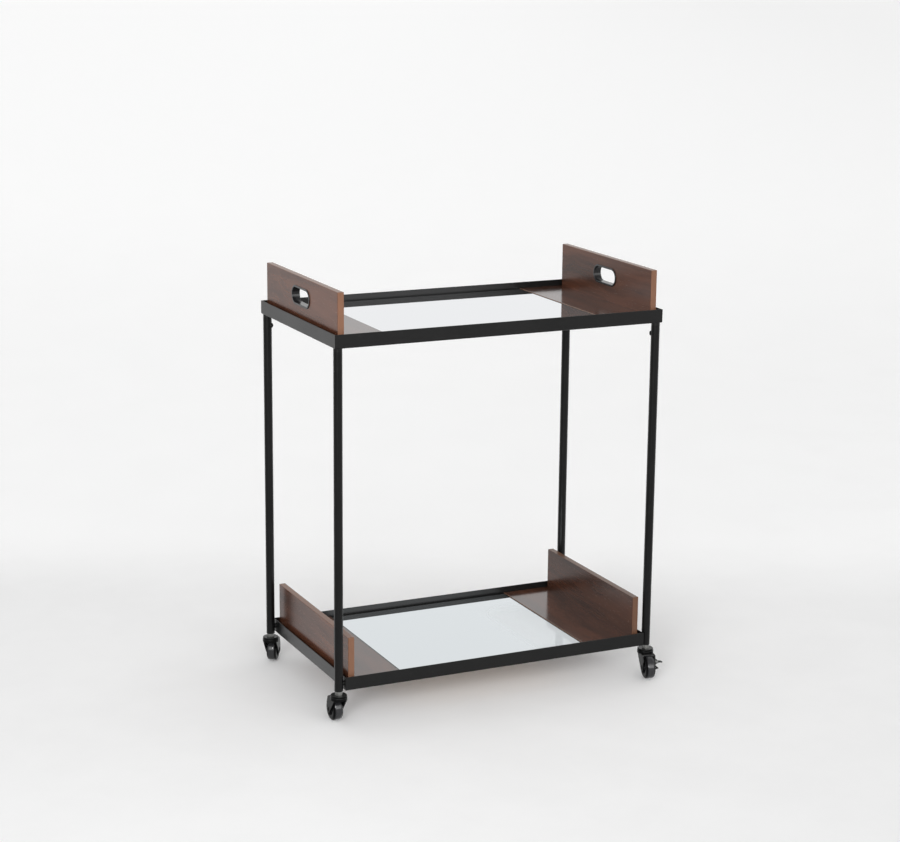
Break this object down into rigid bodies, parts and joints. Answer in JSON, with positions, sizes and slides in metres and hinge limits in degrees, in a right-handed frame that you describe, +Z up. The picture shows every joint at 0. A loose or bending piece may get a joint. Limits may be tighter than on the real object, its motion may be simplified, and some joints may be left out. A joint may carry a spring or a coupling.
{
  "type": "service cart",
  "caption": "Two-tier rolling service cart: black angle-rail trays on round tube legs, mirror shelves between walnut ends with hand holes, on swivel casters with wheel brakes.",
  "frame": {"origin": "on the floor, under the middle of the trays", "axes": "+X along the long side towards the end with the braked casters, +Y from the front to the back, +Z up"},
  "size_m": [0.6752, 0.4319, 0.784],
  "materials": {
    "frame_steel": "satin black powder coat",
    "caster_steel": "gloss black paint",
    "zinc_steel": "bright zinc plate",
    "wheel_plastic": "glossy black",
    "hand_hole_plastic": "satin black",
    "walnut": "satin walnut-look laminate",
    "backing": "raw fibreboard",
    "mirror": "silvered glass"
  },
  "bodies": {
    "frame": {"back_left_leg": "frame_steel", "back_right_leg": "frame_steel", "board_screws": "zinc_steel", "caster_balls": "zinc_steel", "caster_nuts": "zinc_steel", "caster_stems": "caster_steel", "cross_bars": "frame_steel", "front_left_leg": "frame_steel", "front_right_leg": "frame_steel", "left_hand_hole_inner_rim": "hand_hole_plastic", "left_hand_hole_outer_rim": "hand_hole_plastic", "leg_plugs": "zinc_steel", "leg_spigots": "frame_steel", "lower_back_rail": "frame_steel", "lower_front_rail": "frame_steel", "lower_left_board": "walnut", "lower_left_panel": "walnut", "lower_left_rail": "frame_steel", "lower_mirror": "mirror", "lower_mirror_backing": "backing", "lower_right_board": "walnut", "lower_right_panel": "walnut", "lower_right_rail": "frame_steel", "lower_tray_screws": "zinc_steel", "lower_tray_spacers": "frame_steel", "panel_screws": "zinc_steel", "right_hand_hole_inner_rim": "hand_hole_plastic", "right_hand_hole_outer_rim": "hand_hole_plastic", "top_back_rail": "frame_steel", "top_front_rail": "frame_steel", "top_left_board": "walnut", "top_left_panel": "walnut", "top_left_rail": "frame_steel", "top_leg_screws": "frame_steel", "top_mirror": "mirror", "top_mirror_backing": "backing", "top_right_board": "walnut", "top_right_panel": "walnut", "top_right_rail": "frame_steel"},
    "front_left_swivel": {"front_left_fork": "caster_steel", "front_left_axle": "zinc_steel"},
    "front_left_wheel": {"front_left_wheel_core": "wheel_plastic", "front_left_tyre": "wheel_plastic"},
    "front_right_swivel": {"front_right_fork": "caster_steel", "front_right_axle": "zinc_steel", "front_right_brake_pin": "zinc_steel"},
    "front_right_wheel": {"front_right_wheel_core": "wheel_plastic", "front_right_tyre": "wheel_plastic"},
    "front_right_brake": {"front_right_brake_lever": "caster_steel"},
    "back_left_swivel": {"back_left_fork": "caster_steel", "back_left_axle": "zinc_steel"},
    "back_left_wheel": {"back_left_wheel_core": "wheel_plastic", "back_left_tyre": "wheel_plastic"},
    "back_right_swivel": {"back_right_fork": "caster_steel", "back_right_axle": "zinc_steel", "back_right_brake_pin": "zinc_steel"},
    "back_right_wheel": {"back_right_wheel_core": "wheel_plastic", "back_right_tyre": "wheel_plastic"},
    "back_right_brake": {"back_right_brake_lever": "caster_steel"}
  },
  "joints": [
    {"name": "front_left_swivel_turn", "type": "hinge", "parent": "frame", "child": "front_left_swivel", "pos_m": [-0.316, -0.1735, 0.05], "axis": [0, 0, 1], "continuous": true},
    {"name": "front_left_wheel_spin", "type": "hinge", "parent": "front_left_swivel", "child": "front_left_wheel", "pos_m": [-0.31565, -0.1535, 0.0225], "axis": [-0.9998, 0.0175, 0], "continuous": true},
    {"name": "front_right_swivel_turn", "type": "hinge", "parent": "frame", "child": "front_right_swivel", "pos_m": [0.316, -0.1735, 0.05], "axis": [0, 0, 1], "continuous": true},
    {"name": "front_right_wheel_spin", "type": "hinge", "parent": "front_right_swivel", "child": "front_right_wheel", "pos_m": [0.31184, -0.19306, 0.0225], "axis": [0.9781, -0.2079, 0], "continuous": true},
    {"name": "front_right_brake_rock", "type": "hinge", "parent": "front_right_swivel", "child": "front_right_brake", "pos_m": [0.32617, -0.19902, 0.03313], "axis": [-0.9781, 0.2079, 0], "range_deg": [0, 11]},
    {"name": "back_left_swivel_turn", "type": "hinge", "parent": "frame", "child": "back_left_swivel", "pos_m": [-0.316, 0.1735, 0.05], "axis": [0, 0, 1], "continuous": true},
    {"name": "back_left_wheel_spin", "type": "hinge", "parent": "back_left_swivel", "child": "back_left_wheel", "pos_m": [-0.30511, 0.19027, 0.0225], "axis": [-0.8387, 0.5446, 0], "continuous": true},
    {"name": "back_right_swivel_turn", "type": "hinge", "parent": "frame", "child": "back_right_swivel", "pos_m": [0.316, 0.1735, 0.05], "axis": [0, 0, 1], "continuous": true},
    {"name": "back_right_wheel_spin", "type": "hinge", "parent": "back_right_swivel", "child": "back_right_wheel", "pos_m": [0.31809, 0.19339, 0.0225], "axis": [-0.9945, 0.1045, 0], "continuous": true},
    {"name": "back_right_brake_rock", "type": "hinge", "parent": "back_right_swivel", "child": "back_right_brake", "pos_m": [0.30322, 0.19782, 0.03313], "axis": [0.9945, -0.1045, 0], "range_deg": [0, 11]}
  ]
}
